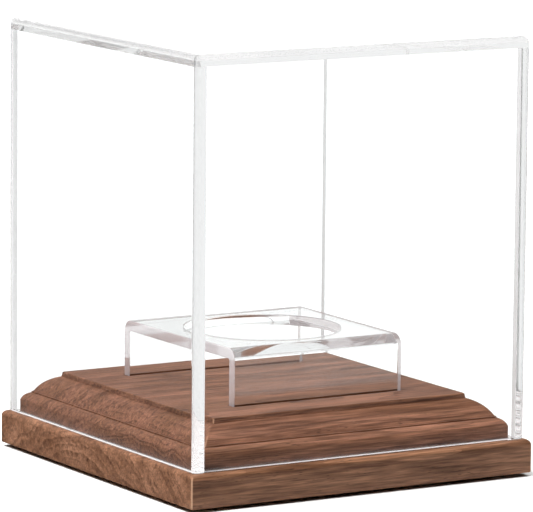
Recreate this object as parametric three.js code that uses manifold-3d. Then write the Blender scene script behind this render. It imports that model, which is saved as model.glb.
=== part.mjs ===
// Baseball display case. A walnut base of two boards carries a clear acrylic cover, glued up from
// five sheets, and a bent acrylic riser with a round seat for the ball. Cover and riser lift off.
// Millimetres, +Z up. The origin is the middle of the footprint on the table, and the front faces -Y.
import * as THREE from 'three';
import { RoundedBoxGeometry } from 'three/addons/geometries/RoundedBoxGeometry.js';
import { mergeVertices } from 'three/addons/utils/BufferGeometryUtils.js';
import Module from 'manifold-3d';

const wasm = await Module();
wasm.setup();

// Foot pads
const PAD_RADIUS = 5;
const PAD_HEIGHT = 1;
const PAD_OFFSET = 39;

// Plinth board
const PLINTH_HALF = 51;
const PLINTH_THICKNESS = 8.8;
const PLINTH_TOP_ROUND = 1.5;
const PLINTH_BOTTOM_EASE = 0.4;

// Moulded board: an upright edge, two ovolos with a narrow shoulder between them, and a small step up
// to the flat top
const BOARD_HALF = 46.1;
const BOARD_THICKNESS = 11.4;
const LOWER_OVOLO_WIDTH = 2.2;
const LOWER_OVOLO_START = THREE.MathUtils.degToRad(72);
const SHOULDER = 0.35;
const UPPER_OVOLO_WIDTH = 5.5;
const UPPER_OVOLO_START = THREE.MathUtils.degToRad(61);
const OVOLO_END = THREE.MathUtils.degToRad(16);
const STEP_HEIGHT = 1.3;
const STEP_SLANT = 0.2;
const STEP_ROUND = 0.4;

// Cover of five bonded sheets
const COVER_HALF = 49.6;
const COVER_HEIGHT = 105.2;
const COVER_SHEET = 3;
const COVER_ROUND = 1.6;

// Riser, bent from one sheet, in two grooves of the moulded board
const RISER_LENGTH = 50.4;
const RISER_HALF_DEPTH = 26.6;
const RISER_HEIGHT = 14.8;
const RISER_SHEET = 2.8;
const RISER_OUTER_BEND = 3;
const RISER_INNER_BEND = 0.5;
const SEAT_RADIUS = 19.5;
const GROOVE_DEPTH = 2;
const GROOVE_GAP = 0.3;

// Countersunk wood screws, driven from below
const SCREW_OFFSET = 30;
const SCREW_LENGTH = 15;
const SCREW_HEAD_RADIUS = 3;
const SCREW_HEAD_HEIGHT = 1.8;
const SCREW_HEAD_SUNK = 0.3;
const SCREW_CREST_RADIUS = 1.5;
const SCREW_ROOT_RADIUS = 1.05;
const SCREW_PITCH = 1.3;
const SCREW_TIP_HEIGHT = 2.6;
const SCREW_CLEARANCE = 0.3;
const RECESS_SPAN = 3;
const RECESS_WIDTH = 0.8;
const RECESS_DEPTH = 1.1;

// Fineness
const CURVE_STEPS = 8;
const CORNER_STEPS = 5;
const SCREW_SIDES = 12;
const ROUND_SIDES = 32;
const SEAT_SIDES = 64;

// Heights that follow from the sizes above
const PLINTH_TOP = PAD_HEIGHT + PLINTH_THICKNESS;
const BOARD_TOP = PLINTH_TOP + BOARD_THICKNESS;
const COVER_TOP = PLINTH_TOP + COVER_HEIGHT;
const RISER_TOP = BOARD_TOP + RISER_HEIGHT;
const RISER_FOOT = BOARD_TOP - GROOVE_DEPTH;

const WALNUT = { color: 0x86614b, roughness: 0.5, metalness: 0 };
const DARKER_WALNUT = { color: 0x6f4f3d, roughness: 0.5, metalness: 0 };
const ACRYLIC = { color: 0xf4f6f8, roughness: 0.03, metalness: 0, transparent: true, opacity: 0.3 };
const RUBBER = { color: 0x1c1b1a, roughness: 0.9, metalness: 0 };
const ZINC_STEEL = { color: 0xb9bcc0, roughness: 0.35, metalness: 1 };

function piece(name, geometry, finish) {
  const mesh = new THREE.Mesh(geometry, new THREE.MeshStandardMaterial(finish));
  mesh.name = name;
  return mesh;
}

// A three.js geometry as a solid that can be joined and cut
function solid(geometry) {
  const bare = geometry.clone();
  bare.deleteAttribute('normal');
  bare.deleteAttribute('uv');
  const merged = mergeVertices(bare);
  return new wasm.Manifold(new wasm.Mesh({
    numProp: 3,
    vertProperties: new Float32Array(merged.attributes.position.array),
    triVerts: new Uint32Array(merged.index.array),
  }));
}

function geometryOf(cutSolid) {
  const mesh = cutSolid.getMesh();
  const geometry = new THREE.BufferGeometry();
  geometry.setAttribute('position', new THREE.BufferAttribute(mesh.vertProperties, 3));
  geometry.setIndex(new THREE.BufferAttribute(mesh.triVerts, 1));
  geometry.computeVertexNormals();
  return geometry;
}

function block(low, high) {
  const box = new THREE.Box3(new THREE.Vector3(...low), new THREE.Vector3(...high));
  const size = box.getSize(new THREE.Vector3());
  const centre = box.getCenter(new THREE.Vector3());
  return new THREE.BoxGeometry(size.x, size.y, size.z).translate(centre.x, centre.y, centre.z);
}

// A profile of radius and height turned about +Z
function turned(profile, sides, start = 0) {
  return new THREE.LatheGeometry(profile, sides, start).rotateX(Math.PI / 2);
}

// A profile of half-width and height run round a square board, with mitred corners
function squareBoard(path) {
  const profile = path.getPoints(CURVE_STEPS);
  profile.forEach((point) => point.setX(point.x * Math.SQRT2));
  return turned(profile, 4, Math.PI / 4);
}

function atFourCorners(offset) {
  return [[-1, -1], [1, -1], [1, 1], [-1, 1]].map(([x, y]) => [x * offset, y * offset]);
}

// Screws and the countersunk holes that they stand in

const SCREW_BOTTOM = PAD_HEIGHT + SCREW_HEAD_SUNK;
const SCREW_TOP = SCREW_BOTTOM + SCREW_LENGTH;

function screwGeometry() {
  const neck = SCREW_BOTTOM + SCREW_HEAD_HEIGHT;
  const profile = [
    new THREE.Vector2(0, SCREW_BOTTOM),
    new THREE.Vector2(SCREW_HEAD_RADIUS, SCREW_BOTTOM),
    new THREE.Vector2(SCREW_ROOT_RADIUS, neck),
  ];
  for (let z = neck + SCREW_PITCH; z < SCREW_TOP - SCREW_TIP_HEIGHT; z += SCREW_PITCH) {
    profile.push(new THREE.Vector2(SCREW_CREST_RADIUS, z));
    profile.push(new THREE.Vector2(SCREW_ROOT_RADIUS, z + SCREW_PITCH / 2));
  }
  profile.push(new THREE.Vector2(0, SCREW_TOP));
  const deep = SCREW_BOTTOM + RECESS_DEPTH;
  const long = RECESS_SPAN / 2;
  const thin = RECESS_WIDTH / 2;
  return geometryOf(
    solid(turned(profile, SCREW_SIDES))
      .subtract(solid(block([-long, -thin, 0], [long, thin, deep])))
      .subtract(solid(block([-thin, -long, 0], [thin, long, deep]))),
  );
}

function screwHole() {
  const wide = SCREW_HEAD_RADIUS + SCREW_CLEARANCE;
  const narrow = SCREW_CREST_RADIUS + SCREW_CLEARANCE;
  const countersink = SCREW_BOTTOM + SCREW_CLEARANCE;
  return turned([
    new THREE.Vector2(0, 0),
    new THREE.Vector2(wide, 0),
    new THREE.Vector2(wide, countersink),
    new THREE.Vector2(narrow, countersink + wide - narrow),
    new THREE.Vector2(narrow, SCREW_TOP + SCREW_CLEARANCE),
    new THREE.Vector2(0, SCREW_TOP + SCREW_CLEARANCE),
  ], SCREW_SIDES);
}

function drilled(board) {
  return atFourCorners(SCREW_OFFSET).reduce(
    (cut, [x, y]) => cut.subtract(solid(screwHole().translate(x, y, 0))),
    solid(board),
  );
}

// Plinth board, with a rounded top edge

function plinthGeometry() {
  const path = new THREE.Path();
  path.moveTo(0, PAD_HEIGHT);
  path.lineTo(PLINTH_HALF - PLINTH_BOTTOM_EASE, PAD_HEIGHT);
  path.lineTo(PLINTH_HALF, PAD_HEIGHT + PLINTH_BOTTOM_EASE);
  path.lineTo(PLINTH_HALF, PLINTH_TOP - PLINTH_TOP_ROUND);
  path.quadraticCurveTo(PLINTH_HALF, PLINTH_TOP, PLINTH_HALF - PLINTH_TOP_ROUND, PLINTH_TOP);
  path.lineTo(0, PLINTH_TOP);
  return geometryOf(drilled(squareBoard(path)));
}

// Moulded board, with two grooves for the riser's legs

// An ovolo leaves at its own slope, turns inwards and ends nearly level
function addOvolo(path, width, start) {
  const { x, y } = path.currentPoint;
  const arm = width / (Math.cos(start) + Math.cos(OVOLO_END));
  path.quadraticCurveTo(
    x - arm * Math.cos(start),
    y + arm * Math.sin(start),
    x - width,
    y + ovoloHeight(width, start),
  );
}

function ovoloHeight(width, start) {
  return width * Math.tan((start + OVOLO_END) / 2);
}

function mouldedBoardGeometry() {
  const upperHeight = ovoloHeight(UPPER_OVOLO_WIDTH, UPPER_OVOLO_START);
  const lowerHeight = ovoloHeight(LOWER_OVOLO_WIDTH, LOWER_OVOLO_START);
  const shoulderTop = BOARD_TOP - STEP_HEIGHT - upperHeight;
  const shoulderHalf = BOARD_HALF - LOWER_OVOLO_WIDTH;
  const stepHalf = shoulderHalf - SHOULDER - UPPER_OVOLO_WIDTH;
  const edgeHalf = stepHalf - STEP_SLANT;
  const path = new THREE.Path();
  path.moveTo(0, PLINTH_TOP);
  path.lineTo(BOARD_HALF, PLINTH_TOP);
  path.lineTo(BOARD_HALF, shoulderTop - SHOULDER - lowerHeight);
  addOvolo(path, LOWER_OVOLO_WIDTH, LOWER_OVOLO_START);
  path.lineTo(shoulderHalf, shoulderTop);
  path.lineTo(shoulderHalf - SHOULDER, shoulderTop);
  addOvolo(path, UPPER_OVOLO_WIDTH, UPPER_OVOLO_START);
  path.lineTo(edgeHalf, BOARD_TOP - STEP_ROUND);
  path.quadraticCurveTo(edgeHalf, BOARD_TOP, edgeHalf - STEP_ROUND, BOARD_TOP);
  path.lineTo(0, BOARD_TOP);

  const grooveEnd = RISER_LENGTH / 2 + GROOVE_GAP;
  const grooveOuter = RISER_HALF_DEPTH + GROOVE_GAP;
  const grooveInner = RISER_HALF_DEPTH - RISER_SHEET - GROOVE_GAP;
  const above = BOARD_TOP + 1;
  const front = block([-grooveEnd, -grooveOuter, RISER_FOOT], [grooveEnd, -grooveInner, above]);
  const back = block([-grooveEnd, grooveInner, RISER_FOOT], [grooveEnd, grooveOuter, above]);
  return geometryOf(drilled(squareBoard(path)).subtract(solid(front)).subtract(solid(back)));
}

// Riser: a bridge seen from the side, carried along X, with the round seat cut through its plate

function riserGeometry() {
  const outer = RISER_HALF_DEPTH;
  const inner = outer - RISER_SHEET;
  const plateUnderside = RISER_TOP - RISER_SHEET;
  const outerArc = outer - RISER_OUTER_BEND;
  const innerArc = inner - RISER_INNER_BEND;
  const right = Math.PI / 2;
  const outline = new THREE.Shape();
  outline.moveTo(outer, RISER_FOOT);
  outline.absarc(outerArc, RISER_TOP - RISER_OUTER_BEND, RISER_OUTER_BEND, 0, right, false);
  outline.absarc(-outerArc, RISER_TOP - RISER_OUTER_BEND, RISER_OUTER_BEND, right, Math.PI, false);
  outline.lineTo(-outer, RISER_FOOT);
  outline.lineTo(-inner, RISER_FOOT);
  outline.absarc(-innerArc, plateUnderside - RISER_INNER_BEND, RISER_INNER_BEND, Math.PI, right, true);
  outline.absarc(innerArc, plateUnderside - RISER_INNER_BEND, RISER_INNER_BEND, right, 0, true);
  outline.lineTo(inner, RISER_FOOT);
  outline.closePath();
  const bridge = new THREE.ExtrudeGeometry(outline, {
    depth: RISER_LENGTH,
    bevelEnabled: false,
    curveSegments: CURVE_STEPS,
  });
  const X = new THREE.Vector3(1, 0, 0);
  const Y = new THREE.Vector3(0, 1, 0);
  const Z = new THREE.Vector3(0, 0, 1);
  bridge.translate(0, 0, -RISER_LENGTH / 2);
  bridge.applyMatrix4(new THREE.Matrix4().makeBasis(Y, Z, X));
  const seat = new THREE.CylinderGeometry(SEAT_RADIUS, SEAT_RADIUS, RISER_HEIGHT, SEAT_SIDES);
  seat.rotateX(Math.PI / 2);
  seat.translate(0, 0, RISER_TOP);
  return geometryOf(solid(bridge).subtract(solid(seat)));
}

// Cover: the front and back sheets stand between the side sheets, the lid lies on all four, and the
// outside edges are rounded once they are glued

const envelope = solid(
  new RoundedBoxGeometry(
    2 * COVER_HALF,
    2 * COVER_HALF,
    COVER_HEIGHT + 2 * COVER_ROUND,
    CORNER_STEPS,
    COVER_ROUND,
  ).translate(0, 0, COVER_TOP - COVER_HEIGHT / 2 - COVER_ROUND),
);

function coverPanel(name, low, high) {
  return piece(name, geometryOf(solid(block(low, high)).intersect(envelope)), ACRYLIC);
}

const coverOut = COVER_HALF;
const coverIn = COVER_HALF - COVER_SHEET;
const lidUnderside = COVER_TOP - COVER_SHEET;

const cover = new THREE.Group();
cover.add(
  coverPanel('cover_front_panel', [-coverIn, -coverOut, PLINTH_TOP], [coverIn, -coverIn, lidUnderside]),
  coverPanel('cover_back_panel', [-coverIn, coverIn, PLINTH_TOP], [coverIn, coverOut, lidUnderside]),
  coverPanel('cover_left_panel', [-coverOut, -coverOut, PLINTH_TOP], [-coverIn, coverOut, lidUnderside]),
  coverPanel('cover_right_panel', [coverIn, -coverOut, PLINTH_TOP], [coverOut, coverOut, lidUnderside]),
  coverPanel('cover_top_panel', [-coverOut, -coverOut, lidUnderside], [coverOut, coverOut, COVER_TOP]),
);

const base = new THREE.Group();
base.add(
  piece('plinth_board', plinthGeometry(), DARKER_WALNUT),
  piece('moulded_board', mouldedBoardGeometry(), WALNUT),
);
const CORNER_NAMES = ['front_left', 'front_right', 'back_right', 'back_left'];
atFourCorners(PAD_OFFSET).forEach(([x, y], corner) => {
  const pad = new THREE.CylinderGeometry(PAD_RADIUS, PAD_RADIUS, PAD_HEIGHT, ROUND_SIDES);
  const mesh = piece(`foot_pad_${CORNER_NAMES[corner]}`, pad.rotateX(Math.PI / 2), RUBBER);
  mesh.position.set(x, y, PAD_HEIGHT / 2);
  base.add(mesh);
});
atFourCorners(SCREW_OFFSET).forEach(([x, y], corner) => {
  const mesh = piece(`screw_${CORNER_NAMES[corner]}`, screwGeometry(), ZINC_STEEL);
  mesh.position.set(x, y, 0);
  base.add(mesh);
});

const displayCase = new THREE.Group();
displayCase.add(base, piece('riser', riserGeometry(), ACRYLIC), cover);

export default displayCase;
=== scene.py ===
"""Baseball display case: a walnut base of two boards, a clear lift-off cover and a bent acrylic riser.

Metres, +Z up, the front faces -Y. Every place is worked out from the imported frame's own boxes.
"""

from math import cos, floor, pi, radians, sin, tan, tau

import bmesh
import bpy
from mathutils import Matrix, Vector


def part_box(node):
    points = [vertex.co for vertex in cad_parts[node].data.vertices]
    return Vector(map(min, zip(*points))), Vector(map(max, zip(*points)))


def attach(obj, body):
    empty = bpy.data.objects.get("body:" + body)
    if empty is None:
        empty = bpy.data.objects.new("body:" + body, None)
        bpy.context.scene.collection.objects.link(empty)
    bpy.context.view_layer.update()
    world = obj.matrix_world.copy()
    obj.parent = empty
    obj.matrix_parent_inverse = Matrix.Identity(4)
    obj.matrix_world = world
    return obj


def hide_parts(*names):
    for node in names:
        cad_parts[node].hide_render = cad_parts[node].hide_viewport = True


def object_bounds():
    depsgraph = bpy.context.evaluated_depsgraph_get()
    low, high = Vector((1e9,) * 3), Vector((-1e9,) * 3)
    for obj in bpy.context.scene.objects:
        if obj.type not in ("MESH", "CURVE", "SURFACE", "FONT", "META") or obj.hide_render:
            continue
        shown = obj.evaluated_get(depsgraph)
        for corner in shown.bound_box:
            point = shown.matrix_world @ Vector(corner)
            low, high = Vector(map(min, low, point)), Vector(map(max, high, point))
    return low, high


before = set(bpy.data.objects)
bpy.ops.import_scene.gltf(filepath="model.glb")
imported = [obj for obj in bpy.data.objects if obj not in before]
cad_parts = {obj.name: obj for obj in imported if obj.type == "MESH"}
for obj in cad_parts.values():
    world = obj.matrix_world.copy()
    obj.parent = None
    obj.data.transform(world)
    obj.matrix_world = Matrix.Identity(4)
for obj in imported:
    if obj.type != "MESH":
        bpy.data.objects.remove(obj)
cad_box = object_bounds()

scene = bpy.context.scene
scene.view_settings.view_transform = "Standard"
# Light runs along inside the acrylic sheets by dozens of reflections before it leaves at an edge.
scene.cycles.max_bounces = scene.cycles.glossy_bounces = 64
scene.cycles.transmission_bounces = scene.cycles.transparent_max_bounces = 32
MM = 0.001

# ---------------------------------------------------------------------------------------------------
# Studio floor. A plain matt white table top, seen only as a pale ground with a soft contact shadow.
# Lacquer and acrylic don't show it: what is seen through them is the even white of the surround.

FLOOR_HALF = 0.5


def linear(srgb_hex):
    """An sRGB hex colour as the linear red, green, blue and alpha of a shader socket."""
    parts = [int(srgb_hex[i:i + 2], 16) / 255 for i in (1, 3, 5)]
    return (*[c / 12.92 if c <= 0.04045 else ((c + 0.055) / 1.055) ** 2.4 for c in parts], 1.0)


def add(tree, kind, sockets=None, give=None, **settings):
    """Adds a node with its settings. sockets holds a value or a link for each input, by identifier.

    It returns the output named in give, or else the first one in use.
    """
    made = tree.nodes.new(kind)
    for name, value in settings.items():
        setattr(made, name, value)
    inputs = {socket.identifier: socket for socket in made.inputs}
    for name, value in (sockets or {}).items():
        if isinstance(value, bpy.types.NodeSocket):
            tree.links.new(value, inputs[name])
        else:
            inputs[name].default_value = value
    if give:
        return made.outputs[give]
    return next((socket for socket in made.outputs if socket.enabled), None)


def empty_material(name):
    material = bpy.data.materials.new(name)
    material.use_nodes = True
    material.node_tree.nodes.clear()
    return material, material.node_tree


def new_piece(name, shape, material):
    """A bmesh as an object of that name, with its faces pointing out."""
    bmesh.ops.recalc_face_normals(shape, faces=shape.faces)
    mesh = bpy.data.meshes.new(name)
    shape.to_mesh(mesh)
    shape.free()
    mesh.materials.append(material)
    piece = bpy.data.objects.new(name, mesh)
    scene.collection.objects.link(piece)
    return piece


def matt_table_top():
    material, tree = empty_material("matt_white_table_top")
    # Painted board: a faint mottle, one patch about 40 mm across, keeps it from being a flat colour.
    place = add(tree, "ShaderNodeTexCoord", give="Object")
    mottle = add(tree, "ShaderNodeTexNoise", {"Vector": place, "Scale": 1 / (40 * MM)}, "Fac")
    colour = add(
        tree,
        "ShaderNodeMix",
        {"Factor_Float": mottle, "A_Color": linear("#f3f2f0"), "B_Color": linear("#f6f6f5")},
        data_type="RGBA",
    )
    paint = add(tree, "ShaderNodeBsdfPrincipled", {"Base Color": colour, "Roughness": 0.9})
    add(tree, "ShaderNodeOutputMaterial", {"Surface": paint})
    return material


shape = bmesh.new()
bmesh.ops.create_grid(shape, x_segments=1, y_segments=1, size=FLOOR_HALF)
table_top = new_piece("table_top", shape, matt_table_top())
table_top.visible_glossy = False
table_top.visible_transmission = False

# ---------------------------------------------------------------------------------------------------
# Foot pads. Four self-adhesive discs of black rubber, die-cut from sheet, pressed onto the underside
# of the plinth near its corners. A die cut leaves the rim a little barrelled and the face fine-grained.

PAD_RIM = 0.22 * MM
ROUND_STEPS = 64
CORNERS = {"front_left": (-1, -1), "front_right": (1, -1), "back_right": (1, 1), "back_left": (-1, 1)}


def bridge(shape, rings):
    """Skins a row of rings of equally many points, and closes it at both ends."""
    rows = [[shape.verts.new(point) for point in ring] for ring in rings]
    for low, high in zip(rows, rows[1:]):
        for i, corner in enumerate(low):
            after = (i + 1) % len(low)
            shape.faces.new((corner, low[after], high[after], high[i]))
    shape.faces.new(rows[0])
    shape.faces.new(rows[-1])


def circle(centre, radius, height, steps=ROUND_STEPS):
    turns = [tau * i / steps for i in range(steps)]
    return [(centre.x + radius * cos(t), centre.y + radius * sin(t), height) for t in turns]


def smooth(piece, sharp_above=radians(35)):
    """Shades curved stretches smooth and keeps the edges sharp that are steeper than that."""
    piece.data.shade_smooth()
    piece.data.set_sharp_from_angle(angle=sharp_above)


def black_rubber():
    material, tree = empty_material("die_cut_black_rubber")
    # Sheet rubber, grit about 0.3 mm: soft grey bloom on black, and no clear reflection.
    place = add(tree, "ShaderNodeTexCoord", give="Object")
    grit = add(tree, "ShaderNodeTexNoise", {"Vector": place, "Scale": 1 / (0.3 * MM), "Detail": 3.0}, "Fac")
    colour = add(
        tree,
        "ShaderNodeMix",
        {"Factor_Float": grit, "A_Color": linear("#131211"), "B_Color": linear("#2a2928")},
        data_type="RGBA",
    )
    relief = add(tree, "ShaderNodeBump", {"Height": grit, "Distance": 0.05 * MM, "Strength": 0.6})
    rubber = add(
        tree,
        "ShaderNodeBsdfPrincipled",
        {"Base Color": colour, "Roughness": 0.85, "IOR": 1.52, "Normal": relief},
    )
    add(tree, "ShaderNodeOutputMaterial", {"Surface": rubber})
    return material


rubber = black_rubber()
for corner in CORNERS:
    node = f"foot_pad_{corner}"
    low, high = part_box(node)
    middle = (low + high) / 2
    radius = (high.x - low.x) / 2
    shape = bmesh.new()
    rim_turns = [radians(t) for t in (-90, -60, -30, 0, 30, 60, 90)]
    rings = []
    for t in rim_turns:
        edge = low.z + PAD_RIM if t < 0 else high.z - PAD_RIM
        rings.append(circle(middle, radius - PAD_RIM * (1 - cos(t)), edge + PAD_RIM * sin(t)))
    bridge(shape, rings)
    pad = new_piece(f"rubber_{node}", shape, rubber)
    smooth(pad)
    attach(pad, "base")
    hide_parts(node)

# ---------------------------------------------------------------------------------------------------
# Plinth board. Solid American black walnut, planed, its top edge rounded over and its other arrises
# eased by hand, sanded and finished in thin satin lacquer. The grain runs along X, so the sides that
# face -X and +X show end grain. Screws come up through it into the moulded board.

PLINTH_ROUND = 1.5 * MM
PLINTH_EASE = 0.4 * MM
PLINTH_CORNER = 0.5 * MM
ARC_STEPS = 6
SCREW_CLEARANCE = 0.3 * MM
SHANK_RADIUS = 1.5 * MM
# The walnut's figure, in millimetres: width of a growth ring, and how far the rings drift.
RING_WIDTH = 2.6
RING_DRIFT = 14


def arc(centre, radius, start, end, steps=ARC_STEPS):
    """Points of an arc in a profile's own plane, from one angle to another in degrees."""
    turns = [radians(start + (end - start) * i / steps) for i in range(steps + 1)]
    return [Vector((centre[0] + radius * cos(t), centre[1] + radius * sin(t))) for t in turns]


def square_ring(half, corner, height, steps=ARC_STEPS):
    """A level square with rounded corners, half as wide as half says."""
    points = []
    for quarter in range(4):
        turned = Matrix.Rotation(quarter * pi / 2, 2)
        for point in arc((half - corner, half - corner), corner, 0, 90, steps):
            x, y = turned @ point
            points.append((x, y, height))
    return points


def square_board(profile, corner):
    """A profile of half-width and height, run round a square."""
    shape = bmesh.new()
    bridge(shape, [square_ring(half, corner, height) for half, height in profile])
    return shape


def cut(piece, cutter):
    """Takes the cutter's solid out of the piece, and throws the cutter away."""
    tool = piece.modifiers.new("cut", "BOOLEAN")
    tool.operation = "DIFFERENCE"
    tool.solver = "EXACT"
    tool.object = cutter
    result = piece.evaluated_get(bpy.context.evaluated_depsgraph_get())
    piece.data = bpy.data.meshes.new_from_object(result)
    piece.modifiers.clear()
    bpy.data.objects.remove(cutter)


def cut_screw_holes(board):
    """Countersunk clearance holes, each a size larger than the screw in it."""
    for corner in CORNERS:
        low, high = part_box(f"screw_{corner}")
        middle = (low + high) / 2
        head = (high.x - low.x) / 2 + SCREW_CLEARANCE
        shank = SHANK_RADIUS + SCREW_CLEARANCE
        seat = low.z + SCREW_CLEARANCE
        shape = bmesh.new()
        bridge(shape, [
            circle(middle, head, -MM),
            circle(middle, head, seat),
            circle(middle, shank, seat + head - shank),
            circle(middle, shank, high.z + SCREW_CLEARANCE),
        ])
        cut(board, new_piece("drill", shape, rubber))


def math(tree, operation, *values, clamp=False):
    """Arithmetic on sockets and numbers."""
    names = ("Value", "Value_001", "Value_002")
    return add(tree, "ShaderNodeMath", dict(zip(names, values)), operation=operation, use_clamp=clamp)


def walnut(name, light, mid, dark, pith, shift):
    """Solid walnut as a block of wood in space: growth rings about a pith line that runs along X.

    pith is the line's Y and Z in millimetres, and shift moves the figure to another part of the tree.
    """
    material, tree = empty_material(name)
    place = add(tree, "ShaderNodeTexCoord", give="Object")
    mm = add(tree, "ShaderNodeVectorMath", {"Vector": place, "Scale": 1 / MM}, operation="SCALE")
    mm = add(tree, "ShaderNodeVectorMath", {"Vector": mm, "Vector_001": shift}, operation="ADD")

    def pattern(kind, along, across, give, **sockets):
        """A texture whose features are so many millimetres long with the grain and wide across it."""
        size = (1 / along, 1 / across, 1 / across)
        scaled = add(tree, "ShaderNodeVectorMath", {"Vector": mm, "Vector_001": size}, operation="MULTIPLY")
        return add(tree, kind, {"Vector": scaled, "Scale": 1.0, **sockets}, give)

    def blend(factor, below, above, kind="MIX"):
        sockets = {"Factor_Float": factor, "A_Color": below, "B_Color": above}
        return add(tree, "ShaderNodeMix", sockets, data_type="RGBA", blend_type=kind)

    # The trunk wanders: the rings drift by a few millimetres over some 90 mm of length.
    wander = pattern("ShaderNodeTexNoise", 90, 22, "Color", Detail=2.0)
    wander = add(
        tree,
        "ShaderNodeVectorMath",
        {
            "Vector": wander,
            "Vector_001": (0, RING_DRIFT, RING_DRIFT),
            "Vector_002": (0, -pith[0], -pith[1]),
        },
        operation="MULTIPLY_ADD",
    )
    offset = add(tree, "ShaderNodeVectorMath", {"Vector": mm, "Vector_001": wander}, operation="ADD")
    offset = add(
        tree,
        "ShaderNodeVectorMath",
        {"Vector": offset, "Vector_001": (0, 1, 1)},
        operation="MULTIPLY",
    )
    radius = add(tree, "ShaderNodeVectorMath", {"Vector": offset}, "Value", operation="LENGTH")
    # Rings about 2.6 mm wide, wider in good years. Each darkens outwards and then starts afresh.
    years = add(
        tree,
        "ShaderNodeTexNoise",
        {"W": math(tree, "MULTIPLY", radius, 0.22), "Scale": 1.0, "Detail": 2.0},
        "Fac",
        noise_dimensions="1D",
    )
    age = math(tree, "ADD", math(tree, "DIVIDE", radius, RING_WIDTH), math(tree, "MULTIPLY", years, 3.0))
    season = math(tree, "FRACT", age)
    latewood = math(tree, "POWER", season, 2.2)
    # Broad bands of heartwood colour, tens of millimetres long; fibres 0.25 mm wide; and pores, cut
    # lengthwise as dark dashes 3 mm long and across as dots, drawn 0.2 mm wide so that they show.
    figure = pattern("ShaderNodeTexNoise", 120, 9, "Fac", Detail=3.0, Roughness=0.6)
    streak = pattern("ShaderNodeTexNoise", 22, 1.0, "Fac", Detail=4.0, Roughness=0.7)
    fibre = pattern("ShaderNodeTexNoise", 8, 0.35, "Fac", Detail=2.0)
    cell = pattern("ShaderNodeTexVoronoi", 3.2, 0.4, "Distance")
    spare = pattern("ShaderNodeTexNoise", 14, 2.5, "Fac", Detail=1.0)
    pore_size = math(tree, "MULTIPLY", math(tree, "SUBTRACT", spare, 0.35, clamp=True), 0.8)
    pore = math(tree, "MULTIPLY", math(tree, "SUBTRACT", pore_size, cell, clamp=True), 9.0, clamp=True)

    tone = math(tree, "MULTIPLY_ADD", math(tree, "SUBTRACT", figure, 0.5), 3.2, 0.5, clamp=True)
    colour = blend(tone, linear(mid), linear(light))
    streak = math(tree, "MULTIPLY", math(tree, "SUBTRACT", 0.6, streak), 2.6)
    depth = math(tree, "MULTIPLY_ADD", latewood, 0.45, streak)
    colour = blend(math(tree, "MAXIMUM", depth, 0.0, clamp=True), colour, linear(dark))
    grain = math(tree, "MULTIPLY_ADD", math(tree, "SUBTRACT", fibre, 0.5), 2.0, 1.0)
    grain = add(tree, "ShaderNodeCombineXYZ", {"X": grain, "Y": grain, "Z": grain})
    colour = blend(1.0, colour, grain, "MULTIPLY")
    colour = blend(math(tree, "MULTIPLY", pore, 0.8), colour, linear("#24140c"))
    # Sanding wears the upright arrises through the stain, and a painted highlight is laid along them as
    # well:
    # they are paler where the surface turns from one side of the square to the next.
    normal = add(tree, "ShaderNodeTexCoord", give="Normal")
    sides = add(tree, "ShaderNodeSeparateXYZ", {"Vector": normal}).node.outputs
    arris = math(tree, "ABSOLUTE", math(tree, "MULTIPLY", sides["X"], sides["Y"]))
    arris = math(tree, "MULTIPLY", math(tree, "SUBTRACT", arris, 0.12, clamp=True), 4.0, clamp=True)
    # The pale blend on the arrises is part wear, part painted highlight.
    colour = blend(math(tree, "MULTIPLY", arris, 0.5), colour, linear("#d0a585"))

    height = math(tree, "MULTIPLY_ADD", pore, -1.0, math(tree, "MULTIPLY", fibre, 0.3))
    relief = add(tree, "ShaderNodeBump", {"Height": height, "Distance": 0.06 * MM, "Strength": 0.5})
    gloss = math(tree, "MULTIPLY_ADD", fibre, 0.14, 0.36)
    lacquered = add(
        tree,
        "ShaderNodeBsdfPrincipled",
        {"Base Color": colour, "Roughness": gloss, "IOR": 1.5, "Normal": relief},
    )
    add(tree, "ShaderNodeOutputMaterial", {"Surface": lacquered})
    return material


low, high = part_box("plinth_board")
plinth_half = high.x
plinth_top = high.z
profile = [
    *arc((plinth_half - PLINTH_EASE, low.z + PLINTH_EASE), PLINTH_EASE, -90, 0),
    *arc((plinth_half - PLINTH_ROUND, high.z - PLINTH_ROUND), PLINTH_ROUND, 0, 90, 2 * ARC_STEPS),
]
plinth = new_piece(
    "walnut_plinth_board",
    square_board(profile, PLINTH_CORNER),
    walnut("satin_walnut_plinth", "#9b6f54", "#835a40", "#523321", pith=(16, -30), shift=(40, 0, 0)),
)
cut_screw_holes(plinth)
smooth(plinth)
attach(plinth, "base")
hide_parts("plinth_board")

# ---------------------------------------------------------------------------------------------------
# Moulded board. Walnut of another plank, glued and screwed onto the plinth. Its colours are set a little
# darker than the plinth's: that is painted shade, standing in for the shade under the cover. A router ran
# its edge in one pass all round: an upright, two ovolos one above the other with a narrow shoulder
# between, and a slanted step to the flat top. Two grooves across the top take the riser's legs.

LOWER_OVOLO, LOWER_START = 2.2 * MM, radians(72)
SHOULDER = 0.35 * MM
UPPER_OVOLO, UPPER_START = 5.5 * MM, radians(61)
OVOLO_END = radians(16)
STEP_HEIGHT = 1.3 * MM
STEP_SLANT = 0.2 * MM
STEP_ROUND = 0.4 * MM
SHOULDER_EASE = 0.15 * MM
BOARD_CORNER = 0.4 * MM
GROOVE_GAP = 0.3 * MM


def curve(start, bend, end, steps):
    """Points of a curve that leaves start towards bend and reaches end from it."""
    shares = [i / steps for i in range(steps + 1)]
    return [start * (1 - s) ** 2 + bend * 2 * s * (1 - s) + end * s * s for s in shares]


def ovolo(foot, width, start):
    """A quarter-round that leaves at its own slope, turns inwards and ends nearly level."""
    arm = width / (cos(start) + cos(OVOLO_END))
    bend = foot + arm * Vector((-cos(start), sin(start)))
    head = bend + arm * Vector((-cos(OVOLO_END), sin(OVOLO_END)))
    return curve(foot, bend, head, 3 * ARC_STEPS)


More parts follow.
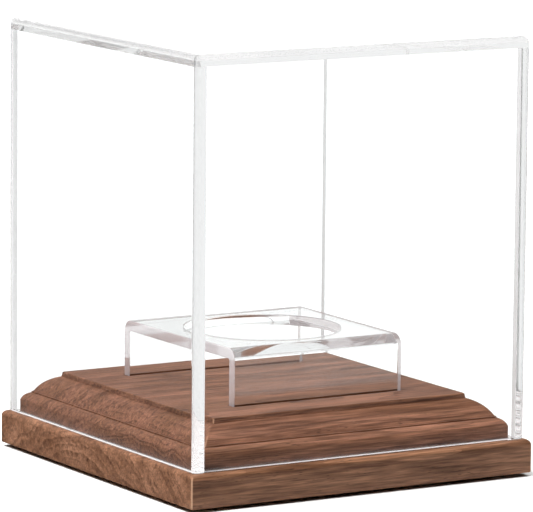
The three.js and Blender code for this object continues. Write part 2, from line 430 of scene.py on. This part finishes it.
def box_shape(low, high):
    shape = bmesh.new()
    middle = (low + high) / 2
    size = Matrix.Diagonal((*(high - low), 1))
    bmesh.ops.create_cube(shape, size=1, matrix=Matrix.Translation(middle) @ size)
    return shape


low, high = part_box("moulded_board")
board_half = high.x
board_top = high.z
lower_height = LOWER_OVOLO * tan((LOWER_START + OVOLO_END) / 2)
shoulder_top = high.z - STEP_HEIGHT - UPPER_OVOLO * tan((UPPER_START + OVOLO_END) / 2)
upright_top = shoulder_top - SHOULDER - lower_height
lower = ovolo(Vector((board_half, upright_top)), LOWER_OVOLO, LOWER_START)
arris = Vector((board_half - LOWER_OVOLO, shoulder_top))
upper = ovolo(arris - Vector((SHOULDER, 0)), UPPER_OVOLO, UPPER_START)
edge = upper[-1].x - STEP_SLANT
profile = [
    Vector((board_half - SHOULDER_EASE, low.z)),
    Vector((board_half, low.z + SHOULDER_EASE)),
    *lower,
    arris,
    *upper,
    *curve(
        Vector((edge, high.z - STEP_ROUND)),
        Vector((edge, high.z)),
        Vector((edge - STEP_ROUND, high.z)),
        ARC_STEPS,
    ),
]
# These walnut colours are darker than the plinth's as painted shade for the shade under the cover.
board = new_piece(
    "walnut_moulded_board",
    square_board(profile, BOARD_CORNER),
    walnut("satin_walnut_moulded_painted_shade", "#986852", "#7f563f", "#4a2c1e", pith=(-14, -60), shift=(0, 3, 0)),
)
cut_screw_holes(board)
riser_low, riser_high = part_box("riser")
RISER_SHEET = 2.8 * MM
for side in (-1, 1):
    outer = riser_high.y + GROOVE_GAP
    inner = riser_high.y - RISER_SHEET - GROOVE_GAP
    long = riser_high.x + GROOVE_GAP
    near, far = sorted((side * outer, side * inner))
    groove = box_shape(Vector((-long, near, riser_low.z)), Vector((long, far, board_top + MM)))
    cut(board, new_piece("groove", groove, rubber))
smooth(board)
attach(board, "base")
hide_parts("moulded_board")

# ---------------------------------------------------------------------------------------------------
# Screws. Four countersunk wood screws of zinc-plated steel with a cross recess, driven up from below
# through the plinth into the moulded board. The thread is rolled, so its crests are a little rounded.

THREAD_PITCH = 1.3 * MM
THREAD_DEPTH = 0.45 * MM
THREAD_ROWS = 10
THREAD_SIDES = 32
HEAD_HEIGHT = 1.8 * MM
HEAD_RIM = 0.15 * MM
TIP_LENGTH = 2.6 * MM
RECESS_SPAN = 3.0 * MM
RECESS_WIDTH = 0.8 * MM
RECESS_DEPTH = 1.1 * MM


def threaded_shank(middle, bottom, top):
    """A helical thread as rows of points whose radius follows the turn, fading into the point."""
    rows = int((top - bottom) / THREAD_PITCH * THREAD_ROWS)
    rings = []
    for row in range(rows + 1):
        height = bottom + (top - bottom) * row / rows
        fade = min(1.0, (top - height) / TIP_LENGTH, (height - bottom) / THREAD_PITCH + 0.05)
        ring = []
        for side in range(THREAD_SIDES):
            turn = side / THREAD_SIDES
            phase = (height - bottom) / THREAD_PITCH - turn
            crest = max(0.0, 1 - 3 * abs(phase - floor(phase) - 0.5))
            core = (SHANK_RADIUS - THREAD_DEPTH) * min(1.0, 0.08 + (top - height) / TIP_LENGTH)
            reach = core + THREAD_DEPTH * crest * fade
            ring.append((middle.x + reach * cos(tau * turn), middle.y + reach * sin(tau * turn), height))
        rings.append(ring)
    return rings


def zinc_plate():
    material, tree = empty_material("zinc_plated_steel")
    # Bright zinc: a pale blue-grey metal with a cloudy crystal mottle, patches about 0.8 mm.
    place = add(tree, "ShaderNodeTexCoord", give="Object")
    cloud = add(tree, "ShaderNodeTexNoise", {"Vector": place, "Scale": 1 / (0.8 * MM), "Detail": 3.0}, "Fac")
    colour = add(
        tree,
        "ShaderNodeMix",
        {"Factor_Float": cloud, "A_Color": linear("#a9adb3"), "B_Color": linear("#cfd2d6")},
        data_type="RGBA",
    )
    rough = add(tree, "ShaderNodeMapRange", {"Value": cloud, "To Min": 0.22, "To Max": 0.38})
    plated = add(
        tree,
        "ShaderNodeBsdfPrincipled",
        {"Base Color": colour, "Metallic": 1.0, "Roughness": rough},
    )
    add(tree, "ShaderNodeOutputMaterial", {"Surface": plated})
    return material


zinc = zinc_plate()
for corner in CORNERS:
    node = f"screw_{corner}"
    low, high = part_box(node)
    middle = (low + high) / 2
    head = (high.x - low.x) / 2
    core = SHANK_RADIUS - THREAD_DEPTH
    neck = low.z + HEAD_HEIGHT
    shape = bmesh.new()
    bridge(shape, [
        circle(middle, head - HEAD_RIM, low.z, THREAD_SIDES),
        circle(middle, head, low.z + HEAD_RIM, THREAD_SIDES),
        circle(middle, core, neck, THREAD_SIDES),
        *threaded_shank(middle, neck + MM / 10, high.z),
    ])
    screw = new_piece(f"steel_{node}", shape, zinc)
    for wide, deep in ((RECESS_SPAN, RECESS_WIDTH), (RECESS_WIDTH, RECESS_SPAN)):
        slot = box_shape(
            Vector((middle.x - wide / 2, middle.y - deep / 2, low.z - MM)),
            Vector((middle.x + wide / 2, middle.y + deep / 2, low.z + RECESS_DEPTH)),
        )
        cut(screw, new_piece("recess", slot, zinc))
    smooth(screw)
    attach(screw, "base")
    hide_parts(node)

# ---------------------------------------------------------------------------------------------------
# Riser. A strip of clear cast acrylic 2.8 mm thick, line-bent over a hot wire into a bridge, with a
# round seat for the ball sawn through its plate. Sheet faces are as cast, and the seat's rim is
# flame-polished. The two long sawn ends stay satin, so they show as pale grey bands.

RISER_OUTER_BEND = 3.0 * MM
RISER_INNER_BEND = 0.5 * MM
SEAT_RADIUS = 19.5 * MM
POLISHED_CORNER = 0.25 * MM
FOOT_GAP = 0.05 * MM


def acrylic(name):
    """Clear cast acrylic. Lamps and soft light pass straight through, so that the wood below is lit."""
    material, tree = empty_material(name)
    clear = add(
        tree,
        "ShaderNodeBsdfPrincipled",
        {
            "Base Color": linear("#fdfefe"),
            "Roughness": 0.0,
            "IOR": 1.49,
            "Transmission Weight": 1.0,
        },
    )
    # Only sharp rays, which come from the eye or run in the acrylic, are bent. Lamp light and what the
    # wood scatters go straight through, because the sheet would only shift it by a millimetre.
    path = tree.nodes.new("ShaderNodeLightPath").outputs
    lit = math(tree, "MAXIMUM", path["Is Shadow Ray"], path["Is Diffuse Ray"])
    scattered = math(tree, "SUBTRACT", path["Is Glossy Ray"], path["Is Singular Ray"])
    lit = math(tree, "MAXIMUM", lit, scattered)
    open_way = add(tree, "ShaderNodeBsdfTransparent", {"Color": linear("#fbfcfc")})
    surface = add(tree, "ShaderNodeMixShader", {"Fac": lit, "Shader": clear, "Shader_001": open_way})
    # A long way through the sheet, as along a wall, dims the light a little.
    body = add(tree, "ShaderNodeVolumeAbsorption", {"Color": linear("#dcdcdc"), "Density": 3.0})
    add(tree, "ShaderNodeOutputMaterial", {"Surface": surface, "Volume": body})
    return material


def sawn_acrylic(name, low, high, clearness):
    """A sawn edge: matt and nearly white, with some of the clear sheet still showing through."""
    material, tree = empty_material(name)
    # The saw leaves fine ripples, some 0.5 mm apart.
    place = add(tree, "ShaderNodeTexCoord", give="Object")
    ripple = add(tree, "ShaderNodeTexNoise", {"Vector": place, "Scale": 1 / (0.5 * MM)}, "Fac")
    colour = add(
        tree,
        "ShaderNodeMix",
        {"Factor_Float": ripple, "A_Color": linear(low), "B_Color": linear(high)},
        data_type="RGBA",
    )
    matt = add(tree, "ShaderNodeBsdfPrincipled", {"Base Color": colour, "Roughness": 0.6, "IOR": 1.49})
    through = add(tree, "ShaderNodeBsdfTransparent")
    edge = add(tree, "ShaderNodeMixShader", {"Fac": clearness, "Shader": matt, "Shader_001": through})
    add(tree, "ShaderNodeOutputMaterial", {"Surface": edge})
    return material


def bridge_outline():
    """The riser seen from its end, once round: Y and Z of the outer face up and of the inner one back."""
    out, foot, top = riser_high.y, riser_low.z + FOOT_GAP, riser_high.z
    inside, under = out - RISER_SHEET, top - RISER_SHEET
    outer_arc, inner_arc = out - RISER_OUTER_BEND, inside - RISER_INNER_BEND
    return [
        Vector((out, foot)),
        *arc((outer_arc, top - RISER_OUTER_BEND), RISER_OUTER_BEND, 0, 90, 2 * ARC_STEPS),
        *arc((-outer_arc, top - RISER_OUTER_BEND), RISER_OUTER_BEND, 90, 180, 2 * ARC_STEPS),
        Vector((-out, foot)),
        Vector((-inside, foot)),
        *arc((-inner_arc, under - RISER_INNER_BEND), RISER_INNER_BEND, 180, 90),
        *arc((inner_arc, under - RISER_INNER_BEND), RISER_INNER_BEND, 90, 0),
        Vector((inside, foot)),
    ]


outline = bridge_outline()
shape = bmesh.new()
bridge(shape, [[(x, y, z) for y, z in outline] for x in (riser_low.x, riser_high.x)])
riser = new_piece("bent_acrylic_riser", shape, acrylic("flame_polished_acrylic"))
shape = bmesh.new()
bridge(shape, [circle(Vector((0, 0, 0)), SEAT_RADIUS, z, 2 * ROUND_STEPS) for z in (
    riser_high.z - 2 * RISER_SHEET,
    riser_high.z + RISER_SHEET,
)])
cut(riser, new_piece("seat_saw", shape, rubber))
riser.data.materials.append(sawn_acrylic("satin_riser_end", "#d3c8cb", "#e2d9dc", 0.35))
for face in riser.data.polygons:
    if abs(face.center.x) > riser_high.x - MM / 10:
        face.material_index = 1
polish = riser.modifiers.new("polished_corners", "BEVEL")
polish.width = POLISHED_CORNER
polish.segments = 3
polish.limit_method = "ANGLE"
polish.angle_limit = radians(50)
riser.data.shade_smooth()
flats = riser.modifiers.new("true_flats", "WEIGHTED_NORMAL")
flats.weight = 100
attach(riser, "riser")
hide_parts("riser")

# ---------------------------------------------------------------------------------------------------
# Cover. Five sheets of clear cast acrylic, 3 mm thick: the front and back stand between the side
# sheets, and the lid lies on all four. Their glued ends are drawn matt and pale, as a line of cement.
# The outside edges are rounded over and buffed. The cover stands loose on the plinth, on its sawn foot.

COVER_ROUND = 1.6 * MM
SHEET_CORNER = 0.05 * MM
FOOT_EASE = 0.2 * MM
JOINT_GAP = 0.01 * MM
FINE_STEPS = 12


def plan_ring(low, high, radii, inset, height):
    """A level outline with its four corners rounded, from the front left one on, drawn in by inset."""
    points = []
    for (x, y), radius in zip(CORNERS.values(), radii):
        radius = max(radius - inset, SHEET_CORNER / 10)
        centre = Vector((
            high.x - inset - radius if x > 0 else low.x + inset + radius,
            high.y - inset - radius if y > 0 else low.y + inset + radius,
        ))
        first = 90 * list(CORNERS.values()).index((x, y)) + 180
        points += [(*point, height) for point in arc(centre, radius, first, first + 90, FINE_STEPS)]
    return points


def cover_sheet(node, radii, rings, material):
    """A sheet of the cover, skinned through rings of inset and height. Its foot and glued ends are sawn."""
    low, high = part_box(node)
    if "front" in node or "back" in node:
        low.x, high.x = low.x + JOINT_GAP, high.x - JOINT_GAP
    shape = bmesh.new()
    bridge(shape, [plan_ring(low, high, radii, inset, height) for inset, height in rings])
    sheet = new_piece(f"acrylic_{node}", shape, material)
    sheet.data.materials.append(sawn)
    sheet.data.materials.append(glued_end)
    for face in sheet.data.polygons:
        if face.normal.z < -0.9 and "top" not in node:
            face.material_index = 1
        elif abs(face.normal.x) > 0.9 and ("front" in node or "back" in node):
            face.material_index = 2
    smooth(sheet)
    flats = sheet.modifiers.new("true_flats", "WEIGHTED_NORMAL")
    flats.weight = 100
    flats.keep_sharp = True
    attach(sheet, "cover")
    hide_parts(node)


cast_acrylic = acrylic("buffed_cast_acrylic")
sawn = sawn_acrylic("sawn_cover_foot", "#cfc8c8", "#d6d0d0", 0.0)
glued_end = sawn_acrylic("solvent_joint", "#d5d3d4", "#dddbdc", 0.05)
lid_low, lid_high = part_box("cover_top_panel")
foot = plinth_top + FOOT_GAP
wall_rings = [(FOOT_EASE, foot), (0, foot + FOOT_EASE), (0, lid_low.z - JOINT_GAP)]
lid_turns = [pi / 2 * i / FINE_STEPS for i in range(FINE_STEPS + 1)]
lid_rings = [(0, lid_low.z)]
for t in lid_turns:
    lid_rings.append((COVER_ROUND * (1 - cos(t)), lid_high.z - COVER_ROUND * (1 - sin(t))))
square, rounded = SHEET_CORNER, COVER_ROUND
for side, radii in {
    "front": (square, square, square, square),
    "back": (square, square, square, square),
    "left": (rounded, square, square, rounded),
    "right": (square, rounded, rounded, square),
}.items():
    cover_sheet(f"cover_{side}_panel", radii, wall_rings, cast_acrylic)
cover_sheet("cover_top_panel", (rounded,) * 4, lid_rings, cast_acrylic)

# ---------------------------------------------------------------------------------------------------
# Studio. A ceiling, a smaller lamp high at the left and a card behind. The surround isn't one even
# brightness: it is white seen straight through acrylic or mirrored from above, dimmer where an edge has
# gathered it, and nearly black mirrored from below the horizon, as if dark flags stood there (they are
# not modelled). It is set by kind of ray, and lights nothing else. A long lens, near left, a little above.

SURROUND_LEVEL = 1.5
GATHERED_LEVEL = 1.02
FLAG_LEVEL = 0.04
CEILING_PLACE, CEILING_SIZE, CEILING_WATTS = (0, 0.15, 1.5), 1.9, 38
LEFT_PLACE, LEFT_SIZE, LEFT_WATTS = (-0.6, -0.1, 1.1), 0.5, 17
CARD_PLACE, CARD_WIDTH, CARD_HEIGHT, CARD_WATTS = (0.1, 1.3, 0.55), 2.4, 1.1, 3.4
CAMERA_PLACE = Vector((-0.6472, -1.0833, 0.2506))
CAMERA_YAW, CAMERA_PITCH, CAMERA_ROLL = radians(30.88), radians(-8.83), radians(0.52)
LENS_MM = 329.4

world = bpy.data.worlds.new("white_surround")
scene.world = world
world.use_nodes = True
studio = world.node_tree
studio.nodes.clear()
direction = add(studio, "ShaderNodeTexCoord", give="Generated")
height = add(studio, "ShaderNodeSeparateXYZ", {"Vector": direction}, "Z")
above = math(studio, "GREATER_THAN", height, 0.0)
way = studio.nodes.new("ShaderNodeLightPath").outputs
straight = math(studio, "LESS_THAN", way["Glossy Depth"], 0.5)
few = math(studio, "LESS_THAN", way["Transmission Depth"], 2.5)
mirrored = math(studio, "MULTIPLY", math(studio, "LESS_THAN", way["Glossy Depth"], 1.5), few)
image = math(studio, "MULTIPLY_ADD", above, SURROUND_LEVEL - FLAG_LEVEL, FLAG_LEVEL)
image = math(studio, "SUBTRACT", image, GATHERED_LEVEL)
level = math(studio, "MULTIPLY_ADD", mirrored, image, GATHERED_LEVEL)
level = math(studio, "MAXIMUM", level, math(studio, "MULTIPLY", straight, SURROUND_LEVEL))
# The sheen of lacquer comes from the lamps alone.
sheen = math(studio, "SUBTRACT", way["Is Glossy Ray"], way["Is Singular Ray"], clamp=True)
level = math(studio, "MULTIPLY", level, math(studio, "SUBTRACT", 1.0, sheen))
glow = add(studio, "ShaderNodeBackground", {"Color": (1, 1, 1, 1), "Strength": level})
add(studio, "ShaderNodeOutputWorld", {"Surface": glow})
world.cycles.sampling_method = "NONE"
world.cycles_visibility.diffuse = False


def softbox(name, place, aim, width, height, watts):
    data = bpy.data.lights.new(name, "AREA")
    data.shape = "RECTANGLE"
    data.size = width
    data.size_y = height
    data.energy = watts
    lamp = bpy.data.objects.new(name, data)
    scene.collection.objects.link(lamp)
    lamp.location = place
    lamp.rotation_euler = (aim - Vector(place)).to_track_quat("-Z", "Y").to_euler()
    lamp.visible_camera = False
    lamp.visible_transmission = False
    return lamp


middle = (cad_box[0] + cad_box[1]) / 2
under_ceiling = Vector((*CEILING_PLACE[:2], 0))
ceiling = softbox("ceiling", CEILING_PLACE, under_ceiling, CEILING_SIZE, CEILING_SIZE, CEILING_WATTS)
ceiling.visible_glossy = False
left = softbox("high_left_lamp", LEFT_PLACE, middle, LEFT_SIZE, LEFT_SIZE, LEFT_WATTS)
left.visible_glossy = False
card = softbox("back_card", CARD_PLACE, middle, CARD_WIDTH, CARD_HEIGHT, CARD_WATTS)
card.visible_diffuse = False

lens = bpy.data.cameras.new("long_lens")
lens.lens = LENS_MM
lens.clip_start = 0.05
camera = bpy.data.objects.new("long_lens", lens)
scene.collection.objects.link(camera)
turn = (
    Matrix.Rotation(-CAMERA_YAW, 4, "Z")
    @ Matrix.Rotation(pi / 2 + CAMERA_PITCH, 4, "X")
    @ Matrix.Rotation(CAMERA_ROLL, 4, "Z")
)
camera.matrix_world = Matrix.Translation(CAMERA_PLACE) @ turn
scene.camera = camera
